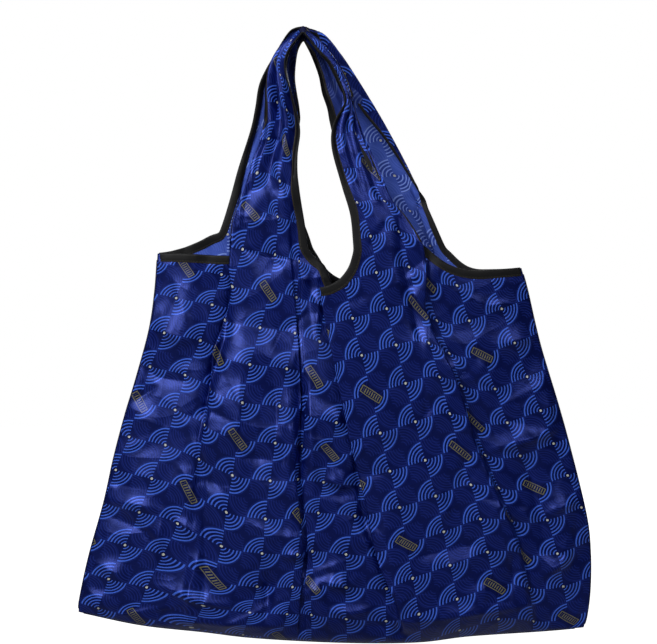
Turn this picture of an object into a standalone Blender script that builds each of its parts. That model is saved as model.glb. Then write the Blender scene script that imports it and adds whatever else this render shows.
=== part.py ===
"""Foldable tote bag hanging by its two handle loops, in metres.

X runs across the bag, -Y is its front and +Z is up. The origin is the inside top of the handle loops,
where a hook or a hand holds them. The cloth is drawn thicker than it is, so that it is a solid.
"""

import bpy
from mathutils import Vector

MM = 0.001

# Driving dimensions
CLOTH = 1.0 * MM  # thickness of the panels and straps
TAPE = 2.2 * MM  # thickness of the folded edge tape
TAPE_WIDTH = 8.5 * MM
GAP = 0.4 * MM  # between neighbouring pieces
TAPE_GAP = 0.7 * MM  # between a panel and the tape round its edge
SEAM = 1.6 * MM  # thickness of the seam allowance inside the bag
SEAM_WIDTH = 7.0 * MM
SIDE_DEPTH = SEAM / 2 + CLOTH / 2 + GAP  # half of the bag's depth along its side and bottom seams
MOUTH_DEPTH = 18.0 * MM  # half of the bag's depth at the mouth
BELLY_DEPTH = 30.0 * MM  # and at its fullest height
BOTTOM_ROUND = 0.14  # share of the height over which the bottom rounds under
TOP_INNER_DEPTH = 17.0 * MM  # from the middle to a loop's inner edge, at the top
TOP_OUTER_DEPTH = 2.2 * MM  # from the middle to a loop's outer edge, at the top
STRAP_END = -0.188  # height at which the straps stop, just above the line they bend at
PANEL_ROOT = -0.202  # height at which the panels start, clear of the straps when the bag swings
TOP_SEAM_SHARE = 0.012  # half the length of the seam that joins two straps, as a share of the loop
SHARE_GAP = 0.0012  # the gap between neighbouring pieces along a loop, as a share of the loop
TAPE_SHARE = 0.27  # widest that one edge tape may be, as a share of the strap's width

# Outlines as seen from the front, (x, z) in millimetres. The sides run down, the bottom runs to the right.
LEFT_SIDE = [(-142, -217), (-150, -280), (-160, -345), (-187, -425), (-202, -500), (-218, -564)]
RIGHT_SIDE = [(213, -231), (228, -290), (254, -380), (270, -450), (279, -505), (274, -580)]
BOTTOM = [(-218, -564), (-140, -580), (-45, -592), (60, -594), (150, -588), (274, -580)]

# The edges of the mouth, from the left corner to the right one, and of the opening between the straps
FRONT_LEFT_RIM = [(-142, -217), (-110, -220.5), (-77, -217), (-66, -200)]
FRONT_NECK = [(1, -200), (9, -224), (20, -252), (35, -247), (46, -226), (47, -200)]
FRONT_RIGHT_RIM = [(111, -200), (121, -220), (144, -233), (178, -234.5), (213, -231)]
BACK_LEFT_RIM = [(-142, -216), (-115, -210), (-95, -200)]
BACK_NECK = [(-1, -200), (9, -224), (28, -243), (43, -228), (46, -200)]
BACK_RIGHT_RIM = [(139, -200), (154, -220), (180, -231), (213, -231)]

# The edges of the loops, from the left over the top to the right
FRONT_LOOP_INNER = [(-1, -190), (-3, -110), (-8, -42), (0, 1.2), (18, -50), (29, -100), (46, -190)]
FRONT_LOOP_OUTER = [(-58, -190), (-47, -128), (-36, -58), (0, 6.5), (48, -80), (86, -151), (106, -190)]
BACK_LOOP_INNER = [(-3, -190), (-6, -110), (-11, -42), (0, 1.2), (22, -50), (34, -100), (48, -190)]
BACK_LOOP_OUTER = [(-84, -190), (-60, -123), (-40, -45), (3, 6.5), (52, -42), (110, -143), (134, -190)]

PRINT = ("print_cloth", (0.012, 0.02, 0.14, 1.0), 0.38)
BLACK = ("edge_tape", (0.012, 0.012, 0.013, 1.0), 0.55)
SEWN = ("seam_cloth", (0.02, 0.03, 0.1, 1.0), 0.6)

FRONT = -1
BACK = 1
EDGE_POINTS = 17  # along each edge of the mouth


def clear_scene():
    for old in list(bpy.data.objects):
        bpy.data.objects.remove(old)


def material(look):
    name, colour, roughness = look
    found = bpy.data.materials.get(name)
    if found:
        return found
    made = bpy.data.materials.new(name)
    made.use_nodes = True
    shader = made.node_tree.nodes["Principled BSDF"]
    shader.inputs["Base Color"].default_value = colour
    shader.inputs["Roughness"].default_value = roughness
    return made


def sheet(name, rows, thickness, look):
    """One closed sheet of this thickness on a grid of points."""
    wide = len(rows[0])
    starts = [r * wide + c for r in range(len(rows) - 1) for c in range(wide - 1)]
    faces = [(k, k + 1, k + wide + 1, k + wide) for k in starts]
    mesh = bpy.data.meshes.new(name)
    mesh.from_pydata([point for row in rows for point in row], [], faces)
    mesh.shade_smooth()
    mesh.materials.append(material(look))
    made = bpy.data.objects.new(name, mesh)
    bpy.context.scene.collection.objects.link(made)
    thicken = made.modifiers.new("Thickness", "SOLIDIFY")
    thicken.thickness = thickness
    thicken.offset = 0.0


def at_share(line, share):
    """The point this share of the way along a line of evenly spaced points."""
    place = share * (len(line) - 1)
    k = min(int(place), len(line) - 2)
    return line[k].lerp(line[k + 1], place - k)


def spaced(line, count):
    """The line again, as count points at even distances along it."""
    along = [0.0]
    for a, b in zip(line, line[1:]):
        along.append(along[-1] + (b - a).length)
    made = []
    j = 0
    for i in range(count):
        wanted = along[-1] * i / (count - 1)
        while j < len(line) - 2 and along[j + 1] < wanted:
            j += 1
        made.append(line[j].lerp(line[j + 1], (wanted - along[j]) / (along[j + 1] - along[j])))
    return made


def curve(knots, count):
    """Evenly spaced points on a smooth curve through the knots, which are (x, z) in millimetres."""
    points = [Vector((x * MM, z * MM)) for x, z in knots]
    padded = [2 * points[0] - points[1], *points, 2 * points[-1] - points[-2]]
    steps = 24
    fine = []
    for a, b, c, d in zip(padded, padded[1:], padded[2:], padded[3:]):
        for i in range(steps):
            t = i / steps
            bend = (2 * a - 5 * b + 4 * c - d) * t * t + (3 * b - a - 3 * c + d) * t**3
            fine.append(0.5 * (2 * b + (c - a) * t + bend))
    fine.append(points[-1])
    return spaced(fine, count)


LEFT_LINE = curve(LEFT_SIDE, 120)
RIGHT_LINE = curve(RIGHT_SIDE, 120)
BOTTOM_LINE = curve(BOTTOM, 120)


def crossing(line, level, along, across):
    """Where a line crosses a level of one coordinate, as its other coordinate."""
    for a, b in zip(line, line[1:]):
        if min(a[along], b[along]) <= level <= max(a[along], b[along]) and a[along] != b[along]:
            return a[across] + (b[across] - a[across]) * (level - a[along]) / (b[along] - a[along])
    ends = sorted((line[0], line[-1]), key=lambda end: abs(end[along] - level))
    return ends[0][across]


def clamp(value):
    return min(1.0, max(0.0, value))


def depth(point):
    """Half of the bag's depth at an (x, z) point of its front view."""
    x, z = point
    left = crossing(LEFT_LINE, z, 1, 0)
    right = crossing(RIGHT_LINE, z, 1, 0)
    floor = crossing(BOTTOM_LINE, x, 0, 1)
    across = clamp((x - left) / (right - left))
    up = clamp((z - floor) / (PANEL_ROOT - floor))
    lens = (1 - abs(2 * across - 1) ** 2.6) ** 0.85
    rounded = (1 - (1 - clamp(up / BOTTOM_ROUND)) ** 2) ** 0.5
    full = BELLY_DEPTH + (MOUTH_DEPTH - BELLY_DEPTH) * up * up
    return SIDE_DEPTH + (full - SIDE_DEPTH) * lens * rounded


def on_cloth(point, side):
    return Vector((point.x, side * depth(point), point.y))


def inset(line, distance):
    """The line moved to its right by a distance, and kept below the panels' root."""
    made = []
    for i, point in enumerate(line):
        step = (line[min(i + 1, len(line) - 1)] - line[max(i - 1, 0)]).normalized()
        moved = point + Vector((step.y, -step.x)) * distance
        made.append(Vector((moved.x, min(moved.y, PANEL_ROOT))))
    return made


def tape_rows(line, side):
    """Three points across the edge tape at each point of an edge."""
    columns = [inset(line, TAPE_WIDTH * k / 2) for k in range(3)]
    return [[on_cloth(point, side) for point in row] for row in zip(*columns)]


def straight(start, end, count):
    """Evenly spaced points strictly between two ends."""
    return [start.lerp(end, (k + 1) / (count + 1)) for k in range(count)]


def panel(name, side, left_rim, neck, right_rim):
    """The cloth of one side of the bag, between its edge tapes and its seams."""
    edges = [inset(curve(knots, EDGE_POINTS), TAPE_WIDTH + TAPE_GAP) for knots in (left_rim, neck, right_rim)]
    gap = Vector((GAP, 0))
    left_root = straight(edges[0][-1] + gap, edges[1][0] - gap, 4)
    right_root = straight(edges[1][-1] + gap, edges[2][0] - gap, 4)
    top = edges[0] + left_root + edges[1] + right_root + edges[2]
    left = [point for point in LEFT_LINE if point.y < top[0].y]
    right = [point for point in RIGHT_LINE if point.y < top[-1].y]
    left[0], right[0] = top[0], top[-1]
    width = top[-1].x - top[0].x
    rows = []
    for up in (0, 0.015, 0.04, 0.08, 0.13, 0.22, 0.34, 0.48, 0.62, 0.75, 0.87, 1):
        row = []
        for head in top:
            u = (head.x - top[0].x) / width
            foot = at_share(BOTTOM_LINE, u)
            sides = (1 - u) * at_share(left, 1 - up) + u * at_share(right, 1 - up)
            corners = (1 - up) * ((1 - u) * left[-1] + u * right[-1]) + up * ((1 - u) * left[0] + u * right[0])
            row.append(on_cloth((1 - up) * foot + up * head + sides - corners, side))
        rows.append(row)
    sheet(name, rows, CLOTH, PRINT)


def mouth_tape(name, front_rim, back_rim, hand):
    """The tape of one half of the mouth, from the front strap round the corner to the back strap."""
    front = tape_rows(curve(front_rim, EDGE_POINTS), FRONT)
    back = tape_rows(curve(back_rim, EDGE_POINTS), BACK)
    if hand < 0:
        front.reverse()
    else:
        back.reverse()
    beyond = Vector((hand * SIDE_DEPTH, 0, 0))
    corner = [(a + b) / 2 + beyond for a, b in zip(front[-1], back[0])]
    sheet(name, front + [corner] + back, TAPE, BLACK)


def seam(name, line, start, end):
    """A strip of seam allowance between the panels, inside a stretch of the outline."""
    path = [at_share(line, start + (end - start) * k / 24) for k in range(25)]
    rows = []
    for i, point in enumerate(path):
        step = (path[min(i + 1, 24)] - path[max(i - 1, 0)]).normalized()
        inward = Vector((-step.y, step.x))
        strip = [point + inward * (SEAM_WIDTH * k / 2) for k in range(3)]
        rows.append([Vector((p.x, 0, p.y)) for p in strip])
    sheet(name, rows, SEAM, SEWN)


def loop_point(edge, share, side, top_depth):
    """A point of a loop's edge. The loops stand wide apart at the mouth and lean together above it."""
    point = at_share(edge, share)
    z = max(point.y, STRAP_END)
    up = 1 - z / STRAP_END
    return Vector((point.x, side * (MOUTH_DEPTH + (top_depth - MOUTH_DEPTH) * up), z))


def loop(name, side, inner, outer):
    """Two straps, their edge tapes and the seam that joins them at the top."""
    inner_line, outer_line = curve(inner, 90), curve(outer, 90)
    seam_start, seam_end = 0.5 - TOP_SEAM_SHARE, 0.5 + TOP_SEAM_SHARE
    spans = {
        "strap_left": (0, seam_start - SHARE_GAP, 22),
        "top_seam": (seam_start, seam_end, 4),
        "strap_right": (seam_end + SHARE_GAP, 1, 22),
        "edges": (0, 1, 60),
    }
    for part, (start, end, count) in spans.items():
        cloth, first, last = [], [], []
        for k in range(count):
            share = start + (end - start) * k / (count - 1)
            a = loop_point(inner_line, share, side, TOP_INNER_DEPTH)
            b = loop_point(outer_line, share, side, TOP_OUTER_DEPTH)
            width = (b - a).length
            taped = min(TAPE_WIDTH, width * TAPE_SHARE) / width
            clear = taped + GAP / width
            cloth.append([a.lerp(b, clear + (1 - 2 * clear) * i / 3) for i in range(4)])
            first.append([a.lerp(b, taped * i / 2) for i in range(3)])
            last.append([a.lerp(b, 1 - taped * i / 2) for i in range(3)])
        if part == "edges":
            sheet(f"{name}_inner_tape", first, TAPE, BLACK)
            sheet(f"{name}_outer_tape", last, TAPE, BLACK)
        else:
            sheet(f"{name}_{part}", cloth, SEAM if part == "top_seam" else CLOTH, PRINT)


def main():
    clear_scene()
    panel("front_panel", FRONT, FRONT_LEFT_RIM, FRONT_NECK, FRONT_RIGHT_RIM)
    panel("back_panel", BACK, BACK_LEFT_RIM, BACK_NECK, BACK_RIGHT_RIM)
    sheet("front_neck_tape", tape_rows(curve(FRONT_NECK, EDGE_POINTS), FRONT), TAPE, BLACK)
    sheet("back_neck_tape", tape_rows(curve(BACK_NECK, EDGE_POINTS), BACK), TAPE, BLACK)
    mouth_tape("mouth_tape_left", FRONT_LEFT_RIM, BACK_LEFT_RIM, -1)
    mouth_tape("mouth_tape_right", FRONT_RIGHT_RIM, BACK_RIGHT_RIM, 1)
    seam("side_seam_left", LEFT_LINE, 0.05, 0.97)
    seam("side_seam_right", RIGHT_LINE[::-1], 0.03, 0.95)
    seam("bottom_seam", BOTTOM_LINE, 0, 1)
    loop("front", FRONT, FRONT_LOOP_INNER, FRONT_LOOP_OUTER)
    loop("back", BACK, BACK_LOOP_INNER, BACK_LOOP_OUTER)


main()
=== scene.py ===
"""Looks of the foldable tote bag: printed cloth in folds, edge tape, seams, and the studio round it."""

import math

import bpy
import numpy as np
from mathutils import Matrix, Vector
from mathutils.bvhtree import BVHTree


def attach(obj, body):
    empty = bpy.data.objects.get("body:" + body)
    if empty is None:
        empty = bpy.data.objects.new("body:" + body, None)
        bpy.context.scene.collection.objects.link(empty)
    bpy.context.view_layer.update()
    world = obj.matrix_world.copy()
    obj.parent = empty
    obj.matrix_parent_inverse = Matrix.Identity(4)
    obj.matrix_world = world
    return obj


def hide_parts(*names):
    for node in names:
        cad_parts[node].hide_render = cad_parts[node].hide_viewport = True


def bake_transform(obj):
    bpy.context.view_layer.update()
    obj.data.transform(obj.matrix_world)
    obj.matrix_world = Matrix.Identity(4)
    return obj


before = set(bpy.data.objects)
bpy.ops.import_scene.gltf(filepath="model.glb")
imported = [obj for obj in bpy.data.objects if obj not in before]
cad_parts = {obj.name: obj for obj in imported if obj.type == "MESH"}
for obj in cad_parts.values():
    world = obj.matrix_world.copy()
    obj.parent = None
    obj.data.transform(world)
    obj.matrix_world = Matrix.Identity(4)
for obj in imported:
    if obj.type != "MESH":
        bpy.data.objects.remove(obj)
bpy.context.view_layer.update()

MM = 0.001
FRONT = -1
BACK = 1
HEIGHT = 0.357  # of the cloth from the bottom seam to the rim
ROOT = 30 * MM  # from the rim up to the straps' roots
CLOTH = 0.4 * MM
SIDE_GAP = 0.5 * MM  # from the middle plane to the cloth at the side and bottom seams
MOUTH = 17 * MM  # half depth at the mouth
BELLY = 25 * MM  # half depth lower down
DEEPEST = 40 * MM  # of either side from the middle plane, creases and all
EASING = 8 * MM  # depth over which the cloth slows down before it
RIM_SAG = 17.2 * MM
TURN = 6.5 * MM  # length of cloth in each turn of a pleat
LEAST_FOLD = 15 * MM  # length of cloth in the narrowest fold
STRAP_WIDTH = 62 * MM
STRAP_TURN = 1.3 * MM  # radius of the strap's turned margin
STRAP_INNER_DEPTH = 23 * MM  # from the middle plane to a strap's inner edge at the top
STRAP_OUTER_DEPTH = 1.6 * MM
STRAP_LIP = 4.5 * MM  # how far a strap bows out at the top
JOINED_ROWS = 10  # of a strap that move when its end is brought to the other strap's
CREASING = 2.6
TAPE_WIDTH = 7.6 * MM
TAPE_OUTER = 0.75 * MM  # from the cloth's middle layer to the tape's outer face
TAPE_STEP = 2 * MM
INSETS = np.arange(0, 10.6, 1.5) * MM  # from the cloth's edge to the lines that a tape follows
PITCH = 35.4 * MM  # of the print
OUTLINE_POINTS = 400
OPEN_BLEND = 80 * MM  # width over which the print changes across a fold that lies open
ROWS = np.r_[np.linspace(0, 0.1, 20)[:-1], np.linspace(0.1, 0.9, 126)[:-1], np.linspace(0.9, 1, 24)]

# Outlines in millimetres, as (x, z)
LEFT_SIDE = [
    (-141.9, -213.4), (-144.8, -251.7), (-150.4, -288.7), (-163.6, -337.3), (-173.6, -370.3), (-184.4, -411.2),
    (-194.4, -455.9), (-209, -508.4), (-218, -550.2), (-219, -562.8),
]
RIGHT_SIDE = [
    (212.9, -227.4), (218.7, -247.9), (231, -300.8), (248, -357.7), (259.9, -400.6), (276.2, -467.5), (280.3, -505),
    (280, -540.4), (277, -566), (273.6, -577.9),
]
BOTTOM = [
    (-219, -562.8), (-158.4, -575.4), (-97.2, -582.2), (-45.7, -588.1), (36, -592.4), (109.8, -592.2),
    (162.3, -586.2), (234.3, -581.3), (273.6, -577.9),
]


def ease(t):
    t = np.clip(t, 0.0, 1.0)
    return t * t * (3 - 2 * t)


def unit(vectors, least=1e-12):
    """The same vectors with a length of 1."""
    return vectors / np.maximum(np.linalg.norm(vectors, axis=-1), least)[..., None]


def knots_at(place, knots):
    return np.interp(place, *zip(*knots))


def spline(knots):
    """Evenly spaced points on a smooth curve through knots in millimetres."""
    p = np.array(knots, float) * MM
    p = np.vstack([2 * p[0] - p[1], p, 2 * p[-1] - p[-2]])
    t = np.linspace(0, 1, 24, endpoint=False)[:, None]
    parts = []
    for a, b, c, d in zip(p, p[1:], p[2:], p[3:]):
        parts.append(0.5 * (2 * b + (c - a) * t + (2 * a - 5 * b + 4 * c - d) * t**2 + (3 * b - a - 3 * c + d) * t**3))
    fine = np.vstack([*parts, p[-2][None]])
    return resampled(fine, OUTLINE_POINTS - 1)


def resampled(line, steps, given=None):
    """The line's points evenly spaced, by distance in its first columns."""
    along = np.r_[0, np.cumsum(np.linalg.norm(np.diff(line[:, :given], axis=0), axis=1))]
    if steps is None:
        steps = max(4, int(round(along[-1] / TAPE_STEP)))
    want = np.linspace(0, along[-1], steps + 1)
    return np.stack([np.interp(want, along, column) for column in line.T], 1)


def at(line, share):
    """Points at these shares of the way along a line, and straight on beyond its ends."""
    place = np.asarray(share, float) * (len(line) - 1)
    k = np.clip(np.floor(place).astype(int), 0, len(line) - 2)
    part = (place - k)[..., None]
    return line[k] * (1 - part) + line[k + 1] * part


LEFT_LINE = spline(LEFT_SIDE)[::-1]
RIGHT_LINE = spline(RIGHT_SIDE)[::-1]
BOTTOM_LINE = spline(BOTTOM)
RIM_SHARE = np.linspace(0, 1, OUTLINE_POINTS)[:, None]
RIM_LINE = LEFT_LINE[-1] * (1 - RIM_SHARE) + RIGHT_LINE[-1] * RIM_SHARE
RIM_LINE = RIM_LINE - np.array([0, 1]) * RIM_SAG * 4 * RIM_SHARE * (1 - RIM_SHARE)


def front_view(u, v):
    """(x, z) of the cloth at a share u across what is seen of it and a share v of the way up."""
    u, v = np.broadcast_arrays(np.asarray(u, float), np.asarray(v, float))
    a, b = u[..., None], v[..., None]
    low = (1 - a) * BOTTOM_LINE[0] + a * BOTTOM_LINE[-1]
    high = (1 - a) * RIM_LINE[0] + a * RIM_LINE[-1]
    sides = (1 - a) * at(LEFT_LINE, v) + a * at(RIGHT_LINE, v)
    return (1 - b) * at(BOTTOM_LINE, u) + b * at(RIM_LINE, u) + sides - (1 - b) * low - b * high


def depth(u, v):
    """Half of the bag's depth there."""
    lens = (1 - np.abs(2 * np.clip(u, 0, 1) - 1) ** 2.4) ** 0.8
    rounded = np.sqrt(np.clip(1 - (1 - np.clip(v / 0.1, 0, 1)) ** 2, 0, 1))
    full = BELLY + (MOUTH - BELLY) * np.clip(v, 0, 1.1) ** 2
    return SIDE_GAP + (full - SIDE_GAP) * lens * rounded


# Folds seen in cross-section. A pleat turns back under itself, and how much it hides sets how far it turns.


def turning(kind, count, length):
    """How far round each step of a fold has turned, for rows of these lengths."""
    tau = (np.arange(count)[None] + 0.5) / count
    if kind == "pleat":
        part = np.minimum(0.3, TURN / length)[:, None]
        return ease(tau / part) * ease((1 - tau) / part)
    dive = ease(tau / 0.13) * ease((0.38 - tau) / 0.13)
    rise = ease((tau - 0.62) / 0.13) * ease((1 - tau) / 0.13)
    return np.repeat(dive - rise, len(length), 0)


def fold_rows(kind, count, length, hidden):
    """Steps (dx, dy) through a fold for each row, which is this long and hides that much of the cloth."""
    shape = turning(kind, count, length)
    angles = np.linspace(0, np.pi if kind == "pleat" else 1.9, 60)
    hides = 1 - np.cos(angles[:, None, None] * shape[None]).mean(2)
    angle = np.array([np.interp(h, hides[:, k], angles) for k, h in enumerate(hidden / length)])
    phi = angle[:, None] * shape
    step = (length / count)[:, None]
    return np.cos(phi) * step, np.sin(phi) * step, angle


def cross_sections(side, v):
    """For each row v and each column: the cloth's own s, the place across what is seen, how far in it lies, and how
    still it is kept when the cloth is creased. Then the first and last columns of the folds."""
    view = front_view(np.linspace(0, 1, 60)[None], v[:, None])
    width = np.linalg.norm(np.diff(view, axis=1), axis=2).sum(1)
    lengths, hides = [], []
    for fold in side["folds"]:
        hides.append(knots_at(v, fold["hides"]) * MM)
        lengths.append(np.maximum(LEAST_FOLD, hides[-1] / (1.62 if fold["kind"] == "pleat" else 1.0)))
    left, right = (knots_at(v, side[key]) * MM for key in ("cloth_left", "cloth_right"))
    stretch = (width - sum(lengths) + sum(hides)) / (right - left - sum(lengths))
    steps, marks, x_end, total = [], [], np.zeros_like(v), 1
    for count, fold, length, hidden in zip(side["columns"], [*side["folds"], None], [*lengths, 0], [*hides, 0]):
        start = width
        if fold:
            start = knots_at(v, fold["edge"]) * width + np.maximum(0, hidden - length) * (fold["sign"] < 0)
        gap = ((start - x_end) / count)[:, None] * np.ones(count)
        steps.append((gap / stretch[:, None], gap, 0 * gap, 0 * gap))
        total += count
        if fold:
            n = fold["count"]
            dx, dy, angle = fold_rows(fold["kind"], n, length, hidden)
            still = ease((angle - 0.8) / 0.8)[:, None] * np.ones(n)
            steps.append((length[:, None] / n * np.ones(n), dx, fold["sign"] * dy, still))
            x_end = start + dx.sum(1)
            marks.append((total, total + n))
            total += n
    s, x, y, calm = (np.hstack([np.zeros((len(v), 1)), *parts]) for parts in zip(*steps))
    s, x, y = (np.cumsum(a, 1) for a in (s, x, y))
    y -= y[:, -1:] * x / width[:, None]
    s = left[:, None] + s * (right - left)[:, None] / s[:, -1:]
    return s, x / width[:, None], y, calm, marks


class Cloth:
    """One side of the bag as a single layer: the panel and its two straps.

    Places across it are numbers: 0 is the left edge, 1 and 2 are where the first fold starts and ends, and so on."""

    def __init__(self, side):
        self.side = side
        table_v = np.linspace(0, 1.14, 115)
        *tables, marks = cross_sections(side, table_v)
        columns = tables[0].shape[1]
        self.stations = [0, *np.ravel(marks), columns - 1]
        places, rise = zip(*side["top"])
        rise = np.interp(np.arange(columns), self.column(places), np.array(rise) * MM)
        top = HEIGHT + np.convolve(np.pad(rise, 2, mode="edge"), np.array([1, 2, 3, 2, 1]) / 9, "valid")
        v = ROWS[:, None] * top[None] / HEIGHT
        s, u, y, calm = (
            np.stack([np.interp(v[:, c], table_v, table[:, c]) for c in range(columns)], 1) for table in tables
        )
        view = front_view(u, v)
        inset = y * ease(np.minimum(u, 1 - u) / 0.03) * ease(v / 0.06)
        out = np.maximum(depth(u, v) - inset, SIDE_GAP * 0.5)
        body = np.stack([view[..., 0], side["facing"] * out, view[..., 1]], -1)
        soft, hard = [], []
        for fold, (first, last) in zip(side["folds"], marks):
            step = np.interp(np.arange(columns), [first, last], [0, 1])
            middle = (s[:, first] + s[:, last])[:, None] / 2
            closed = ease((knots_at(v, fold["hides"]) - 14) / 14)
            soft.append(step * closed + ease((s - middle) / OPEN_BLEND + 0.5) * (1 - closed))
            hard.append((step > 0.5) + 0 * v)
        shares = np.stack(soft + hard, -1)
        self.column_shares = shares[-1]
        self.body_index = np.arange(v.size).reshape(v.shape)
        self.count = v.size
        self.straps = {}
        self.points = [body.reshape(-1, 3)]
        self.flat = [np.stack([s, v * HEIGHT], -1).reshape(-1, 2)]
        self.calm = [calm.ravel()]
        self.inner = [ease(np.minimum(u, 1 - u) / 0.025).ravel()]
        self.shares = [shares.reshape(-1, shares.shape[-1])]
        self.faces = [self.quads(self.body_index)]
        for strap in side["straps"]:
            self.add_strap(strap, body, s)
        for name in ("points", "flat", "calm", "inner", "shares", "faces"):
            setattr(self, name, np.concatenate(getattr(self, name)))
        self.join_straps()
        if side["facing"] == BACK:
            self.faces = self.faces[:, ::-1]

    @staticmethod
    def quads(index):
        a, b, c, d = index[:-1, :-1], index[:-1, 1:], index[1:, 1:], index[1:, :-1]
        return np.stack([a, b, c, d], -1).reshape(-1, 4)

    def column(self, place):
        return np.interp(place, np.arange(len(self.stations)), self.stations)

    def add_strap(self, strap, body, s):
        """A strap whose columns run on from the panel's, with its outer margin turned back where it says."""
        facing, hand = self.side["facing"], strap["hand"]
        first, last = (int(round(self.column(strap[key]))) for key in ("from", "to"))
        cols = np.arange(first, last + 1)[::hand]
        root, root_s = body[-1, cols], s[-1, cols]
        root_width = abs(root_s[-1] - root_s[0])
        g = np.abs(root_s - root_s[0]) / root_width
        q = np.linspace(0, 1, strap["rows"])
        edges = []
        for key, near, far in (
            ("inner", abs(root[0, 1]), STRAP_INNER_DEPTH), ("outer", np.abs(root[:, 1]).max(), STRAP_OUTER_DEPTH)
        ):
            line = at(spline(strap[key]), q)
            edges.append(np.stack([line[:, 0], facing * ((1 - q) * near + q * far), line[:, 1]], 1))
        middle = (edges[0] + edges[1]) / 2
        tangent = unit(np.gradient(middle, axis=0))
        chord = edges[1] - edges[0]
        span = np.linalg.norm(chord, axis=1)
        chord = unit(chord)
        normal = unit(np.cross(chord, tangent)) * (1 if hand * facing < 0 else -1)

        margin = knots_at(q, strap["margin"]) * MM
        cloth = STRAP_WIDTH + (root_width - STRAP_WIDTH) * (1 - ease(q / 0.3))
        seen = (span - STRAP_TURN * ease(margin / (4 * MM)))[:, None]
        g_fold = 1 - margin / cloth
        spare = np.clip(g_fold * cloth - seen[:, 0], 0, None)[:, None]
        cloth, g_fold, rise = cloth[:, None], g_fold[:, None], q[:, None]
        over = np.maximum(0, (g - g_fold) * cloth)
        psi = np.minimum(over / STRAP_TURN, np.pi)
        straight = np.maximum(0, over - np.pi * STRAP_TURN)
        share = np.clip(g / g_fold, 0, 1)
        along = share * seen + STRAP_TURN * np.sin(psi) - straight
        inward = STRAP_TURN * (1 - np.cos(psi)) + 0.06 * straight
        cap = (5 - 2.2 * ease((rise - 0.6) / 0.4)) * MM
        tall = np.minimum(seen / (np.pi * strap["waves"]) * np.sqrt(spare / seen), cap)
        roll = np.sin(2 * np.pi * (strap["waves"] * share + strap["phase"] * np.sin(np.pi * rise)))
        inward = inward + tall * roll * ease(share / 0.12) * ease((1 - share) / 0.12)
        inward = inward - STRAP_LIP * ease((rise - 0.75) / 0.25) * 4 * share * (1 - share) * (1 - 0.5 * share)
        shape = edges[0][:, None] + chord[:, None] * along[..., None] - normal[:, None] * inward[..., None]
        shape = shape + (root - shape[0]) * (1 - ease(q / 0.36))[:, None, None]

        flat_s = root_s.mean() + (g - 0.5) * cloth * np.sign(root_s[-1] - root_s[0])
        mix = ease(rise / 0.3)
        flat_s = root_s * (1 - mix) + flat_s * mix
        length = np.linalg.norm(np.diff(middle, axis=0), axis=1).sum()
        flat_t = HEIGHT + ROOT + rise * length + 0 * flat_s
        top_t = self.flat[0].reshape(*body.shape[:2], 2)[-1, cols, 1]
        flat_t = flat_t + (top_t - flat_t[0]) * (1 - rise)
        fresh = np.arange(self.count, self.count + (len(q) - 1) * len(cols)).reshape(-1, len(cols))
        self.count += fresh.size
        grid = np.vstack([self.body_index[-1, cols], fresh])
        hidden = ease(margin / (6 * MM))[:, None] * (g > g_fold)
        self.points.append(shape[1:].reshape(-1, 3))
        self.flat.append(np.stack([flat_s, flat_t], -1)[1:].reshape(-1, 2))
        self.calm.append(hidden[1:].ravel())
        self.inner.append(np.ones(fresh.size))
        self.shares.append(np.tile(self.column_shares[cols], (len(q) - 1, 1)))
        self.faces.append(self.quads(grid)[:, ::hand])
        self.straps[strap["name"]] = grid

    def printed(self):
        """Flat coordinates of the print, which lies askew on each part between two folds."""
        if "print" not in self.side:
            return self.flat
        s, t = (self.flat / PITCH).T
        moves = []
        for (middle, slope), knots in zip(self.side["print_slope"], self.side["print"]):
            rows, ds, dt = np.array(knots).T
            lean = np.interp(t, rows, dt) + slope * np.clip(s - middle, -2, 2)
            moves.append(np.stack([np.interp(t, rows, ds), lean], -1))
        folds = self.side["folds"]
        shift = moves[0]
        for k, fold in enumerate(folds):
            whole = np.array(fold.get("skips", (0, 0)))
            soft, hard = self.shares[:, k, None], self.shares[:, len(folds) + k, None]
            shift = shift + (moves[k + 1] - moves[k] - whole) * soft + whole * hard
        return self.flat + PITCH * shift

    def flat_area(self):
        p = self.flat[self.faces]
        a, b = p[:, 2] - p[:, 0], p[:, 3] - p[:, 1]
        return float(np.abs(a[:, 0] * b[:, 1] - a[:, 1] * b[:, 0]).sum() / 2)

    def top_rows(self, count):
        """The last rows of the left strap, then of the right one the other way, all with as many columns."""
        rows = []
        for name, order in (("left", 1), ("right", -1)):
            grid = self.points[self.straps[name][-count:]][::order]
            rows.append(np.stack([at(row, np.linspace(0, 1, 90)) for row in grid]))
        return rows

    def join_straps(self):
        """Brings both straps' last rows to one line between them, and the rows before gently with them."""
        left, right = self.top_rows(1)
        line = (left[-1] + right[0]) / 2
        line[:, 0] = 0
        for grid in self.straps.values():
            shift = at(line, np.linspace(0, 1, grid.shape[1])) - self.points[grid[-1]]
            for k in range(JOINED_ROWS):
                self.points[grid[-1 - k]] += shift * ease(1 - k / JOINED_ROWS)

    def normals(self):
        p, f = self.points, self.faces
        n = np.cross(p[f[:, 2]] - p[f[:, 0]], p[f[:, 3]] - p[f[:, 1]])
        total = np.zeros_like(p)
        for k in range(4):
            np.add.at(total, f[:, k], n)
        return unit(total)

    def strap_edge(self, name, column):
        """Vertex numbers from the strap's top down to its root along one edge column."""
        return self.straps[name][::-1, column]

    def rim(self, first, last):
        """Vertex numbers along the panel's top row from one place to another."""
        first, last = (int(round(self.column(place))) for place in (first, last))
        step = 1 if last > first else -1
        return self.body_index[-1, np.arange(first, last + step, step)]


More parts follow.
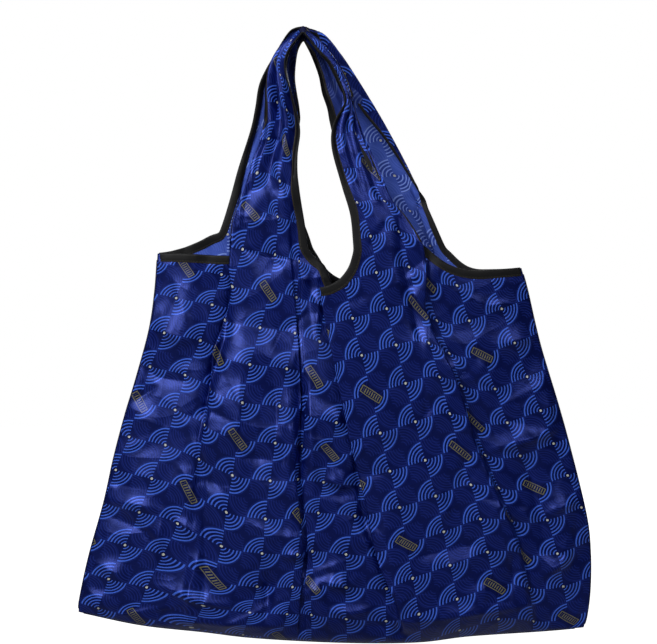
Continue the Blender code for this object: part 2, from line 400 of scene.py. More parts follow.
# Each side. Folds: "edge" is where what is seen of the fold ends, as a share of the width, and "hides" is how many
# millimetres it hides, each at shares of the height. "top" is the height of the cloth's edge over the rim at places
# across it. "print" is how the print is shifted on each part between two folds, in repeats, as (up, across, up by).
FRONT_SIDE = {
    "facing": FRONT,
    "cloth_left": [(0, 37), (1, 0), (1.14, -5)],
    "cloth_right": [(0, 514), (1, 516)],
    "columns": [44, 42, 34, 62, 44],
    "folds": [
        {
            "kind": "pleat", "sign": -1, "count": 30,
            "edge": [
                (0, 0.2), (0.3, 0.185), (0.47, 0.178), (0.52, 0.168), (0.75, 0.171), (0.83, 0.188), (0.96, 0.197),
                (1, 0.192), (1.14, 0.2),
            ],
            "hides": [(0, 0), (0.45, 1), (0.6, 5), (0.74, 12), (0.88, 24), (1, 32), (1.14, 36)],
        },
        {
            "kind": "dip", "sign": 1, "count": 26,
            "edge": [(0, 0.43), (0.22, 0.42), (0.47, 0.39), (0.66, 0.393), (0.93, 0.37), (1.14, 0.36)],
            "hides": [(0, 1), (0.11, 8), (0.25, 18), (0.4, 20), (0.6, 20), (0.83, 10), (1, 4), (1.14, 0)],
        },
        {
            "kind": "pleat", "sign": -1, "count": 44, "skips": (0, -1),
            "edge": [
                (0, 0.63), (0.11, 0.609), (0.22, 0.578), (0.33, 0.545), (0.47, 0.528), (0.617, 0.508), (0.74, 0.485),
                (0.86, 0.464), (0.956, 0.449), (1, 0.445),
            ],
            "hides": [(0, 2), (0.11, 8), (0.25, 18), (0.36, 30), (0.58, 58), (0.83, 92), (1, 104), (1.14, 108)],
        },
        {
            "kind": "pleat", "sign": 1, "count": 30, "skips": (-1, -1),
            "edge": [
                (0, 0.88), (0.275, 0.837), (0.386, 0.814), (0.468, 0.798), (0.551, 0.781), (0.661, 0.771),
                (0.744, 0.757), (0.854, 0.722), (0.923, 0.71), (1, 0.728), (1.05, 0.735),
            ],
            "hides": [(0, 0), (0.275, 5), (0.66, 9), (1, 13), (1.14, 14)],
        },
    ],
    "top": [
        (0, 0), (0.28, 4.5), (0.8, 10), (1.05, 14), (1.5, 30), (4.06, 30), (4.14, 21), (4.25, 16), (4.37, 13),
        (4.5, -12), (5, -15), (6, -11), (6.06, -9), (6.18, -2.5), (6.237, 4), (6.292, 12), (6.32, 20), (6.336, 30),
        (7.5, 32), (8, 32), (8.04, 28), (8.105, 18.7), (8.236, 10), (8.36, 5), (8.5, 2), (9, 0),
    ],
    "print": [
        [
            (0, 0.45, -0.3), (1.1, 0.42, -0.1), (2.1, 0.33, -0.1), (5, 0.2, 0), (7, 0.4, 0), (9, 0.26, 0),
            (10, 0.12, 0.16),
        ],
        [
            (0, -0.42, -0.14), (1.5, -0.32, 0.53), (3.3, 0, 0.65), (5.4, 0.29, 0.56), (6.5, 0.42, 0.53),
            (7.5, 0.43, 0.46), (9.6, 0.07, 0.41), (10.6, -0.2, 0.35), (11.8, -0.48, 0.17), (13.2, -0.61, -0.16),
            (14.1, -0.67, -0.08),
        ],
        [(0, -0.2, 0), (2.5, 0.43, 0.42), (3.6, 0.38, 0.38), (6.1, 0.5, 0.93), (7.2, 0.35, 0.84)],
        [
            (0, -0.2, -1.1), (1.3, 0.06, -1.1), (2.2, 0.29, -1.1), (3, 0.42, -1.05), (5.1, 0.59, -1.08),
            (7.2, 0.7, -1.25), (8.3, 0.7, -1.3), (10.3, 0.93, -1.31),
        ],
        [
            (0, -1.1, -2.2), (1.2, -0.8, -2.15), (4, -0.33, -2.05), (5, -0.15, -2), (6, -0.03, -1.98),
            (8, 0.14, -1.97), (9.9, 0.4, -1.97),
        ],
    ],
    "print_slope": [(1.2, 0), (4.2, -0.02), (7, 0.1), (10.35, -0.27), (13.4, -0.24)],
    "straps": [
        {
            "name": "left", "hand": -1, "rows": 96, "from": 1.5, "to": 4.06, "waves": 2, "phase": 0.1,
            "inner": [
                (-2.5, -209.4), (-4.5, -166.2), (-5.5, -120.5), (-3.4, -93.3), (-10.7, -62.2), (-17.5, -36.9),
                (-14.6, -19.4), (0, 0),
            ],
            "outer": [
                (-59.3, -217.7), (-59.3, -192.5), (-57.4, -161.4), (-50.6, -127.3), (-41.9, -101.1), (-37, -73.9),
                (-36, -49.6), (-31.1, -31.1), (-17.5, -11.7), (0, 4.4),
            ],
            "margin": [(0, 14), (0.3, 12), (0.5, 10), (0.62, 0)],
        },
        {
            "name": "right", "hand": 1, "rows": 100, "from": 6.336, "to": 7.5, "waves": 3, "phase": -0.1,
            "inner": [
                (48.6, -208), (45.7, -176.9), (37.9, -150.7), (28.2, -114.7), (29.2, -91.4), (38.9, -69), (34, -46.7),
                (26.2, -31.1), (14.6, -17.5), (0, 0),
            ],
            "outer": [
                (119.4, -217.4), (102, -184.5), (84.5, -158.7), (72.1, -127.8), (58, -97), (47.7, -66.2),
                (40.8, -44.7), (30.1, -28.2), (17.5, -12.6), (0, 4.4),
            ],
            "margin": [(0, 14), (0.5, 13), (0.66, 0)],
        },
    ],
}

BACK_SIDE = {
    "facing": BACK,
    "cloth_left": [(0, 0)],
    "cloth_right": [(0, 497)],
    "columns": [44, 62, 62, 44],
    "folds": [
        {
            "kind": "pleat", "sign": -1, "count": 30,
            "edge": [(0, 0.22), (0.5, 0.18), (1, 0.165)],
            "hides": [(0, 0), (0.3, 4), (0.6, 14), (1, 24), (1.14, 26)],
        },
        {
            "kind": "pleat", "sign": -1, "count": 40,
            "edge": [(0, 0.52), (0.4, 0.5), (0.8, 0.472), (1.14, 0.47)],
            "hides": [(0, 0), (0.3, 12), (0.6, 42), (1, 72), (1.14, 76)],
        },
        {
            "kind": "pleat", "sign": 1, "count": 30,
            "edge": [(0, 0.8), (0.5, 0.79), (1, 0.8)],
            "hides": [(0, 0), (0.3, 4), (0.6, 14), (1, 24), (1.14, 26)],
        },
    ],
    "top": [
        (0, 0), (0.16, 4), (0.38, 12), (0.59, 21), (0.7, 27), (0.8, 31), (1.5, 31), (2.66, 30), (2.75, 9),
        (2.82, 1.5), (2.9, -2.5), (3, -4), (4, -4), (4.13, -2), (4.19, 8), (4.24, 30), (6.1, 30), (6.15, 26),
        (6.24, 15), (6.33, 8), (6.45, 4), (6.8, 1), (7, 0),
    ],
    "straps": [
        {
            "name": "left", "hand": -1, "rows": 90, "from": 0.85, "to": 2.66, "waves": 3, "phase": 0.15,
            "inner": [
                (2.8, -207), (-8.9, -161.4), (-9.8, -122.5), (-5.9, -93.3), (-2.4, -77.8), (-6.8, -50.5), (-8.3, -35),
                (-5.8, -11.7), (0, 0),
            ],
            "outer": [
                (-86.5, -193.8), (-75.8, -165.2), (-60.3, -120.5), (-50.5, -90.4), (-46.2, -70), (-41.8, -45.7),
                (-28.2, -19.4), (-12.6, 4.9), (0, 7.3),
            ],
            "margin": [(0, 0)],
        },
        {
            "name": "right", "hand": 1, "rows": 96, "from": 4.24, "to": 6.12, "waves": 3, "phase": -0.15,
            "inner": [
                (52.5, -206.1), (47.6, -161.4), (37.9, -127.3), (27.2, -85.5), (24.3, -69), (19, -52.5), (15.6, -35),
                (7.8, -14.6), (0, 0),
            ],
            "outer": [
                (144.8, -206.1), (129.3, -175), (110.8, -140.9), (94.3, -109.8), (76.8, -78.7), (57.3, -46.7),
                (36.9, -16.5), (19.4, 2.9), (0, 7.3),
            ],
            "margin": [(0.17, 0), (0.25, 4), (0.33, 6.5), (0.47, 10), (0.58, 15), (0.8, 17), (0.92, 14), (1, 0)],
        },
    ],
}

# Creases seen on the front: height, how far each side of it slopes away, and the x and z of each point on it, all in
# millimetres. The first side is the one on the left of the way the points run.
FRONT_CREASES = [
    (3.4, 34, 9, -153, -284, -123, -295, -94, -300), (2.4, 9, 6, -194, -452, -158, -458, -125, -465),
    (1.8, 7, 7, -129, -465, -105, -483, -92, -494), (3, 15, 5, -153, -532, -124, -540, -95, -549, -44, -554),
    (1.8, 9, 6, -207, -513, -183, -523, -164, -534), (2.2, 8, 12, -133, -453, -139, -487, -147, -529),
    (-2, 6, 10, -65, -408, -46, -410, -24, -411), (3.4, 16, 5, -26, -503, -11, -504, 9, -503),
    (3.6, 15, 5, 13, -528, 31, -531, 50, -535), (3, 13, 5, 15, -431, 32, -434, 52, -439),
    (3.4, 14, 6, 168, -409, 191, -401, 230, -391, 258, -379), (2.2, 22, 8, 180, -306, 206, -299, 232, -293),
    (-2.2, 12, 10, 73, -507, 123, -501, 167, -493, 201, -496),
    (3.2, 14, 8, 69, -571, 133, -562, 182, -556, 235, -551), (2.2, 9, 5, 230, -469, 250, -460, 273, -450),
    (1.8, 9, 8, 219, -533, 250, -512, 279, -486), (2.4, 9, 7, 13, -556, 46, -559, 79, -554),
    (-3.6, 6, 5, -68, -222, -72, -259, -77, -297, -88, -336, -96, -375, -102, -406),
    (-2.2, 7, 6, -102, -406, -96, -453, -94, -511, -98, -570), (-3.2, 5, 6, -6, -278, -3, -356, -2, -424, 3, -482),
    (2, 6, 6, 6, -307, 8, -375, 10, -434, 15, -482), (-1.8, 7, 10, -32, -302, -26, -356, -26, -409),
    (1.8, 6, 8, -15, -327, -11, -385, -15, -453), (1.6, 8, 12, -58, -317, -60, -365, -65, -414),
    (-2.6, 6, 6, -34, -511, -34, -550, -38, -581), (-3, 7, 5, 48, -385, 53, -434, 59, -472, 77, -517, 92, -560),
    (2, 8, 7, 18, -511, 15, -540, 22, -568, 32, -581), (2, 7, 5, 98, -245, 108, -256, 118, -271),
    (-3, 9, 6, 89, -142, 92, -172, 96, -225, 104, -259, 112, -297, 118, -346),
    (-2.4, 6, 7, 191, -487, 203, -506, 199, -550), (-2, 8, 8, 196, -385, 216, -409, 226, -453, 238, -511),
    (1.6, 10, 12, 55, -317, 48, -297, 36, -259), (1.4, 12, 7, 36, -319, 67, -317, 94, -321),
    (-1.8, 5, 9, -61, -209, -40, -215, -3, -222), (-1.5, 8, 8, 17, -176, 26, -200, 34, -259),
    (1.4, 7, 7, 114, -334, 143, -325, 162, -313), (1.6, 7, 6, 41, -354, 52, -350, 67, -348),
    (1.4, 9, 6, 26, -256, 48, -251, 75, -244, 96, -246), (1.5, 9, 12, -40, -142, -34, -166, -40, -200),
    (-2.4, 5, 7, 52, -82, 67, -113, 81, -161), (2.8, 18, 36, 60, -235, 70, -300, 79, -358, 91, -421),
    (3.2, 6, 28, -14, -95, -14, -150, -10, -200), (2.2, 14, 9, -190, -562, -120, -569, -50, -572, 5, -574),
    (1.8, 7, 6, 48, -93, 53, -127, 67, -176, 79, -222),
]


def crease_heights(places, creases):
    """Height of all the creases together at each (x, z)."""
    total = np.zeros(len(places))
    for height, left, right, *points in creases:
        p = np.reshape(points, (-1, 2)) * MM
        best = np.full(len(places), 1e9)
        side, share = np.zeros(len(places)), np.zeros(len(places))
        runs = np.linalg.norm(np.diff(p, axis=0), axis=1)
        start = np.r_[0, np.cumsum(runs)]
        for k, run in enumerate(runs):
            d = (p[k + 1] - p[k]) / run
            rel = places - p[k]
            inside = np.clip(rel @ d, 0, run)
            far = np.linalg.norm(rel - inside[:, None] * d, axis=1)
            near = far < best
            best = np.where(near, far, best)
            side = np.where(near, rel[:, 1] * d[0] - rel[:, 0] * d[1], side)
            share = np.where(near, (start[k] + inside) / start[-1], share)
        width = np.where(side > 0, left, right) * MM
        taper = ease(share / 0.45) * ease((1 - share) / 0.45)
        edge = np.sqrt(best**2 + (0.8 * MM) ** 2) - 0.8 * MM
        total += height * CREASING * MM * np.exp(-edge / (width * (0.25 + 0.75 * taper))) * taper
    return total


def random_creases(seed, count):
    """Small creases in all directions, more of them across than down."""
    rng = np.random.default_rng(seed)
    made = []
    for _ in range(count):
        x, z = rng.uniform(-215, 275), rng.uniform(-590, -20)
        turn = rng.normal(0.15, 0.5) if rng.random() < 0.6 else rng.normal(1.5, 0.35)
        fine = rng.random() < 0.3
        run = rng.uniform(30, 80) if fine else rng.uniform(12, 48)
        bend = rng.normal(0, 0.06 if fine else 0.2)
        a = (x - run * math.cos(turn - bend), z - run * math.sin(turn - bend))
        b = (x + run * math.cos(turn + bend), z + run * math.sin(turn + bend))
        height = rng.uniform(0.5, 1.7) * (1 if rng.random() < 0.6 else -1)
        widths = (rng.uniform(3, 6), rng.uniform(2, 4)) if fine else (rng.uniform(5, 20), rng.uniform(4, 9))
        made.append((height * (0.6 if fine else 1), *widths, *a, x, z, *b))
    return made


def crumple(cloth, creases, swell):
    """Moves the cloth in and out by its creases and by slow waves: all layers of a fold together, and the straps
    along their own normals, least where they are turned back."""
    height = crease_heights(cloth.points[:, [0, 2]], creases)
    s, t = cloth.flat.T
    slow = np.sin(s * 61 + 2.1 * np.sin(t * 11)) + 0.7 * np.sin(s * 97 + t * 23 + 1.3) + 0.6 * np.sin(t * 52 + s * 17)
    height = height + swell * MM * slow * np.clip(t / HEIGHT, 0.1, 1)
    height = height * ease(t / (14 * MM)) * cloth.inner * (1 - 0.45 * ease((t - HEIGHT - 20 * MM) / (60 * MM)))
    bound = ease((t - HEIGHT - 5 * MM) / (30 * MM))
    outward = np.array([0, cloth.side["facing"], 0])
    along = cloth.normals() * (bound * (1 - 0.9 * cloth.calm))[:, None] + outward * (1 - bound)[:, None]
    cloth.points = cloth.points + along * height[:, None]
    y = np.abs(cloth.points[:, 1])
    start = DEEPEST - EASING
    limited = start + EASING * np.tanh(np.maximum(0, y - start) / EASING)
    cloth.points[:, 1] = np.sign(cloth.points[:, 1]) * np.where(y > start, limited, y)


def put(name, data):
    made = bpy.data.objects.new(name, data)
    bpy.context.scene.collection.objects.link(made)
    return made


def smooth_mesh(name, points, polygons, uv, *materials):
    """An object with these points and faces, and with a map that says (s, t) for each corner of each face in turn."""
    mesh = bpy.data.meshes.new(name)
    mesh.from_pydata(points.reshape(-1, 3).tolist(), [], polygons)
    mesh.uv_layers.new(name="Cloth").data.foreach_set("uv", np.ravel(uv))
    for material in materials:
        mesh.materials.append(material)
    mesh.shade_smooth()
    mesh.update()
    return put(name, mesh)


def layered(name, cloth, outer, inner):
    """A closed mesh: the cloth's outer face, its inner face and the narrow face round its edge."""
    p, f, n = cloth.points, cloth.faces, cloth.normals()
    count = len(p)
    edges = np.vstack([f[:, [k, (k + 1) % 4]] for k in range(4)])
    key = np.sort(edges, 1)
    code = key[:, 0].astype(np.int64) * count + key[:, 1]
    _, first, times = np.unique(code, return_index=True, return_counts=True)
    border = edges[first[times == 1]]
    rim = np.stack([border[:, 1], border[:, 0], border[:, 0] + count, border[:, 1] + count], 1)
    quads = np.vstack([f, f[:, ::-1] + count, rim])
    points = np.vstack([p + n * CLOTH / 2, p - n * CLOTH / 2])
    uv = np.vstack([cloth.printed()] * 2)[quads]
    made = smooth_mesh(name, points, quads.tolist(), uv, outer, inner)
    made.data.polygons.foreach_set("material_index", (np.arange(len(quads)) >= len(f)).astype(int))
    return made


def ring_solid(name, rings, body):
    """A seam from rings of points, capped at both ends, that rides on a body."""
    rows, count = rings.shape[:2]
    index = np.arange(rows * count).reshape(rows, count)
    polygons = Cloth.quads(np.hstack([index, index[:, :1]])).tolist() + [index[0][::-1].tolist(), index[-1].tolist()]
    steps = np.linalg.norm(np.diff(rings, axis=0), axis=2).mean(1)
    run = np.repeat(np.r_[0, np.cumsum(steps)], count)
    across = np.tile(np.cumsum(np.linalg.norm(rings - np.roll(rings, 1, 1), axis=2).mean(0)), rows)
    corners = np.concatenate(polygons)
    made = smooth_mesh(name, rings, polygons, np.stack([run[corners], across[corners]], 1), SEAM)
    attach(made, body)
    return made


def strip(name, rows, half, body):
    """A band over these rows of points, this far out on both sides of them."""
    n = unit(np.cross(np.gradient(rows, axis=1), np.gradient(rows, axis=0)), 1e-9)
    for _ in range(2):
        n[:, 1:-1] = (n[:, :-2] + 2 * n[:, 1:-1] + n[:, 2:]) / 4
    return ring_solid(name, np.concatenate([rows + n * half, (rows - n * half)[::-1]]).transpose(1, 0, 2), body)


def bead(name, line, inward, body):
    """A seam along an outline of the bag: a bead over the cloth's edges and its allowance lying inside."""
    profile = [(6.5, 0.12), (1.1, 0.14), (0.9, 0.8), (0.2, 0.95), (-0.5, 0.6), (-0.75, 0.0)]
    profile = profile + [(r, -y) for r, y in profile[-2::-1]]
    path = line[4:-7]
    along = np.gradient(path, axis=0)
    across = unit(np.stack([-along[:, 1], along[:, 0]], 1))
    across *= np.sign(across @ np.array(inward))[:, None]
    rings = []
    for r, y in profile:
        place = path + across * r * MM
        rings.append(np.stack([place[:, 0], np.full(len(place), y * MM), place[:, 1]], 1))
    return ring_solid(name, np.stack(rings, 1), body)


def smoothed(rows, times, closed=False):
    for _ in range(times):
        around = np.vstack([rows[-1:], rows, rows[:1]])
        middle = (around[:-2] + 2 * rows + around[2:]) / 4
        rows = middle if closed else np.vstack([rows[:1], middle[1:-1], rows[-1:]])
    return rows


class Surface:
    """Places on a cloth found from their flat coordinates."""

    def __init__(self, cloth):
        f = cloth.faces if cloth.side["facing"] == FRONT else cloth.faces[:, ::-1]
        self.triangles = np.vstack([f[:, [0, 1, 2]], f[:, [0, 2, 3]]])
        flat = np.hstack([cloth.flat, np.zeros((len(cloth.flat), 1))])
        self.tree = BVHTree.FromPolygons(flat.tolist(), self.triangles.tolist())
        self.cloth = cloth
        self.normals = cloth.normals()

    def find(self, places):
        """(points, normals) on the cloth at these flat places."""
        found = [self.tree.find_nearest(Vector((s, t, 0))) for s, t in places]
        spots = np.array([spot[:2] for spot, *_ in found])
        corners = self.triangles[[face for _, _, face, _ in found]]
        a, b, c = (self.cloth.flat[corners[:, k]] for k in range(3))
        ab, ac, ap = b - a, c - a, spots - a
        area = ab[:, 0] * ac[:, 1] - ab[:, 1] * ac[:, 0]
        area = np.where(np.abs(area) < 1e-12, 1e-12, area)
        wb = (ap[:, 0] * ac[:, 1] - ap[:, 1] * ac[:, 0]) / area
        wc = (ab[:, 0] * ap[:, 1] - ab[:, 1] * ap[:, 0]) / area
        w = np.clip(np.stack([1 - wb - wc, wb, wc], 1), 0, 1)
        w = (w / w.sum(1)[:, None])[..., None]
        return (self.cloth.points[corners] * w).sum(1), unit((self.normals[corners] * w).sum(1))

    def rails(self, path):
        """For a path along the cloth's edge, as vertex numbers: its places at each inset from the edge."""
        points = resampled(np.hstack([self.cloth.points[path], self.cloth.flat[path]]), None, 3)
        flat = smoothed(points[:, 3:], 2)
        along = np.gradient(flat, axis=0)
        across = unit(np.stack([-along[:, 1], along[:, 0]], 1), 1e-9)
        across = unit(smoothed(across, 4), 1e-9)
        far = []
        for way in (1, -1):
            probe, _ = self.find(flat + across * way * 2 * MM)
            far.append(np.linalg.norm(probe - points[:, :3], axis=1).sum())
        across = across if far[0] > far[1] else -across
        return [self.find(flat + across * max(r, 0.05 * MM)) for r in INSETS]


def tape_profile():
    """Cross-section of a tape folded over an edge: (inset from the edge, height over the cloth)."""
    top = [(1.0, 0.15), (0.985, 0.85), (0.93, 1.0), (0.8, 0.88), (0.72, 1.0), (0.45, 1.12), (0.18, 1.08)]
    outer = [(TAPE_WIDTH * r, TAPE_OUTER * k) for r, k in top]
    nose = [(-0.25 * MM, 0.95 * TAPE_OUTER), (-0.75 * MM, 0.5 * TAPE_OUTER), (-0.9 * MM, 0.0)]
    return np.array(outer + nose + [(r, -y) for r, y in (outer + nose[:-1])[::-1]])


def tape(name, parts):
    """A closed loop of tape along an edge, following the cloth from the edge inwards. Each part is a surface, vertex
    numbers, and the share of the full width at heights in millimetres."""
    gathered, shares = [], []
    for surface, path, widths in parts:
        gathered.append([(place[:-1], normal[:-1]) for place, normal in surface.rails(path)])
        shares.append(knots_at(gathered[-1][0][0][:, 2] / MM, widths))
    places, normals = [], []
    for k in range(len(INSETS)):
        places.append(smoothed(np.vstack([part[k][0] for part in gathered]), 2, True))
        normals.append(unit(smoothed(np.vstack([part[k][1] for part in gathered]), 2, True)))
    places, normals, shares = np.array(places), np.array(normals), np.hstack(shares)
    every = np.arange(len(shares))
    profile = tape_profile()
    rings = []
    for r, h in profile:
        size = np.maximum(r, 0) * shares / INSETS[1]
        k = np.minimum(size.astype(int), len(INSETS) - 2)
        part = (size - k)[:, None]
        place, normal = (a[k, every] * (1 - part) + a[k + 1, every] * part for a in (places, normals))
        if r < 0:
            place = place - unit(places[0] - places[1]) * r
        rings.append(place + normal * h)
    rings = np.stack(rings, 1)
    index = np.arange(rings[..., 0].size).reshape(rings.shape[:2])
    quads = Cloth.quads(np.pad(index, (0, 1), mode="wrap"))
    run = np.arange(len(rings) + 1) * TAPE_STEP
    uv = np.stack(np.broadcast_arrays(run[:, None], np.r_[profile[:, 0], profile[0, 0]]), -1)
    uv = np.stack([uv[:-1, :-1], uv[:-1, 1:], uv[1:, 1:], uv[1:, :-1]], 2).reshape(-1, 4, 2)
    a, b, c, d = (rings.reshape(-1, 3)[quads[:, k]] for k in range(4))
    if (a * np.cross(b, c)).sum() + (a * np.cross(c, d)).sum() < 0:
        quads, uv = quads[:, ::-1], uv[:, ::-1]
    return smooth_mesh(name, rings, quads.tolist(), uv, TAPE)


# Materials


class Value:
    """A shader's number or vector, on which plain arithmetic makes nodes."""

    def __init__(self, nodes, socket):
        self.nodes = nodes
        self.socket = socket

    def __add__(self, other):
        return self.nodes.math("ADD", self, other)

    def __sub__(self, other):
        return self.nodes.math("SUBTRACT", self, other)

    def __rsub__(self, other):
        return self.nodes.math("SUBTRACT", other, self)

    def __mul__(self, other):
        return self.nodes.math("MULTIPLY", self, other)

    def __lt__(self, other):
        return self.nodes.math("LESS_THAN", self, other)

    def __gt__(self, other):
        return self.nodes.math("GREATER_THAN", self, other)


class Nodes:
    """Short calls for making shader nodes."""

    def __init__(self, name, kind="materials", shader="Principled BSDF"):
        self.made = getattr(bpy.data, kind).new(name)
        self.made.use_nodes = True
        self.tree = self.made.node_tree
        self.shader = self.tree.nodes[shader]

    def add(self, kind, out=0, inputs=None, **settings):
        """An output of a new node with these settings and these inputs, by name or in order."""
        node = self.tree.nodes.new(kind)
        for key, value in settings.items():
            setattr(node, key, value)
        for key, value in (inputs.items() if isinstance(inputs, dict) else enumerate(inputs or ())):
            self.link(value, node.inputs[key])
        return Value(self, node.outputs[out])

    def link(self, value, socket):
        if isinstance(value, Value):
            self.tree.links.new(value.socket, socket)
        else:
            socket.default_value = value

    def cloth(self):
        return self.add("ShaderNodeUVMap", uv_map="Cloth")

    def camera_ray(self):
        """1 where the camera looks straight at it, 0 where it only lights something."""
        return self.add("ShaderNodeLightPath", "Is Camera Ray")

    def parts(self, vector):
        x = self.add("ShaderNodeSeparateXYZ", inputs=(vector,))
        return x, Value(self, x.socket.node.outputs[1])

    def math(self, operation, *values, clamp=False):
        return self.add("ShaderNodeMath", inputs=values, operation=operation, use_clamp=clamp)

    def vector(self, operation, *values):
        return self.add("ShaderNodeVectorMath", inputs=values, operation=operation)

    def length(self, vector):
        return self.add("ShaderNodeVectorMath", 1, (vector,), operation="LENGTH")

    def mix(self, share, a, b):
        return self.add("ShaderNodeMix", 2, {0: share, 6: a, 7: b}, data_type="RGBA")

    def ramp(self, value, stops):
        ramp = self.add("ShaderNodeValToRGB", inputs=(value,))
        elements = ramp.socket.node.color_ramp.elements
        elements.remove(elements[-1])
        for k, (place, level) in enumerate(stops):
            stop = elements[0] if k == 0 else elements.new(place)
            stop.position = place
            stop.color = (level, level, level, 1)
        return ramp

    def noise(self, where, scale, detail=2.0, roughness=0.5, distortion=0.0):
        inputs = {"Vector": where, "Scale": scale, "Detail": detail, "Roughness": roughness, "Distortion": distortion}
        return self.add("ShaderNodeTexNoise", "Fac", inputs)

    def bump(self, height, distance, strength, normal=None):
        inputs = {"Strength": strength, "Distance": distance, "Height": height}
        if normal:
            inputs["Normal"] = normal
        return self.add("ShaderNodeBump", inputs=inputs)

    def finish(self, **inputs):
        """Sets the main shader's inputs, whose names have _ here for a space."""
        for key, value in inputs.items():
            self.link(value, self.shader.inputs[key.replace("_", " ")])
        return self.made


def srgb(*values):
    """Linear colour from 0 to 255 display values."""
    c = np.array(values) / 255
    return (*np.where(c <= 0.04045, c / 12.92, ((c + 0.055) / 1.055) ** 2.4).tolist(), 1.0)


# Arcs of the print: (radius, width) in repeats
BRIGHT_ARCS = [(0.10, 0.026), (0.19, 0.028), (0.28, 0.031), (0.37, 0.034), (0.455, 0.038)]
FAINT_ARCS = [(0.12, 0.02), (0.19, 0.02), (0.26, 0.022), (0.33, 0.022), (0.40, 0.024), (0.465, 0.024)]


def arc_stops(arcs, blur=0.007):
    stops = [(0.0, 0.0)]
    for r, w in arcs:
        stops += [(r - w / 2 - blur / 2, 0.0), (r - w / 2 + blur / 2, 1.0)]
        stops += [(r + w / 2 - blur / 2, 1.0), (r + w / 2 + blur / 2, 0.0)]
    return stops


NAVY = srgb(2, 10, 62)
DOT = srgb(205, 205, 190)
GOLD = srgb(120, 116, 74)


def print_material(name, offset, colours, roughness, painted_top_shade=0.0):
    """Nylon printed with a lattice of dots, each with two fans of arcs round it; the last argument paints shade on it,
    darker towards the top of the straps.
    """
    dark, lit, arc, faint, gap = colours
    n = Nodes(name)
    cloth = n.cloth()
    place = n.vector("ADD", n.vector("MULTIPLY", cloth, (1 / PITCH, 1 / PITCH, 0.0)), (*offset, 0.0))
    whole = n.vector("FLOOR", n.vector("ADD", place, (0.5, 0.5, 0.0)))
    from_dot = n.vector("SUBTRACT", place, whole)
    r = n.length(from_dot)
    rc = n.length(n.vector("SUBTRACT", n.vector("FRACTION", place), (0.5, 0.5, 0.0)))
    fx, fy = n.parts(from_dot)
    column, row = (n.math("FLOORED_MODULO", part, period) for part, period in zip(n.parts(whole), (3.0, 4.0)))

    def cell(x, y):
        return n.math("COMPARE", column, x, 0.3) * n.math("COMPARE", row, y, 0.3)

    tag = n.math("MAXIMUM", cell(0.0, 0.0), cell(2.0, 2.0))
    plain = 1.0 - tag
    bright = fx * fy < 0.0
    arcs = n.ramp(r, arc_stops(BRIGHT_ARCS))
    arcs = (arcs * plain + arcs * (r > 0.325) * tag) * bright
    faint_lines = n.ramp(rc, arc_stops(FAINT_ARCS)) * (1.0 - bright)
    ring = n.math("MAXIMUM", n.math("COMPARE", r, 0.5, 0.009), n.math("COMPARE", rc, 0.5, 0.009))

    # a small frame with plain bars in it, slanting across some of the dots
    slant = math.sqrt(0.5)
    p, q = (fy - fx) * slant, (fx + fy) * slant
    ap, aq = n.math("ABSOLUTE", p), n.math("ABSOLUTE", q)
    bulge = 0.105 - p * p * 0.12
    inside = (ap < 0.31) * (aq < bulge)
    core = (ap < 0.285) * (aq < bulge - 0.022)
    bars = (n.math("PINGPONG", p + 0.5, 0.034) < 0.014) * (aq < 0.06) * (ap < 0.24)
    mark = n.math("MAXIMUM", inside - core, bars) * tag

    worn = n.noise(cloth, 9.0, 3.0, 0.6)
    colour = n.mix(n.ramp(worn, [(0.3, 0.0), (0.75, 1.0)]), dark, lit)
    for share, over in (
        (bright * (r < 0.485), gap), (faint_lines * 0.8, faint), (ring * 0.55, faint), (arcs, arc),
        ((r < 0.056) * plain, gap), ((r < 0.033) * plain, DOT), (inside * tag, dark), (mark, GOLD),
    ):
        colour = n.mix(share, colour, over)
    # painted shade: the colour is darkened towards navy high on the straps, where shade falls inside the bag
    if painted_top_shade:
        top = n.math("DIVIDE", n.parts(cloth)[1] - (HEIGHT + 0.11), 0.07, clamp=True)
        colour = n.mix(top * painted_top_shade, colour, NAVY)

    # facets between creases, crinkles, and a plain weave
    bent = n.vector("ADD", cloth, n.vector("MULTIPLY", n.noise(cloth, 14.0, 1.0), (0.05, -0.04, 0.0)))
    where = n.vector("MULTIPLY", bent, (1.0, 1.5, 1.0))
    facets = n.add("ShaderNodeTexVoronoi", "Distance", {"Vector": where, "Scale": 17.0}, feature="F1")
    warp, weft = (
        n.add("ShaderNodeTexWave", "Fac", {"Vector": cloth, "Scale": 520.0}, wave_type="BANDS", bands_direction=way)
        for way in "XY"
    )
    normal = n.bump(facets, 7 * MM, 0.5)
    normal = n.bump(n.noise(cloth, 22.0, 2.0, 0.5, 0.8), 1.4 * MM, 0.6, normal)
    normal = n.bump(n.noise(cloth, 60.0, 3.0, 0.55, 0.6), 0.5 * MM, 0.6, normal)
    normal = n.bump(warp + weft, 0.02 * MM, 0.5, normal)
    return n.finish(
        Base_Color=colour, Normal=normal, Roughness=worn * 0.12 + roughness - arcs * 0.05,
        Specular_IOR_Level=1.0, Specular_Tint=(0.165, 0.24, 0.97, 1.0),
    )


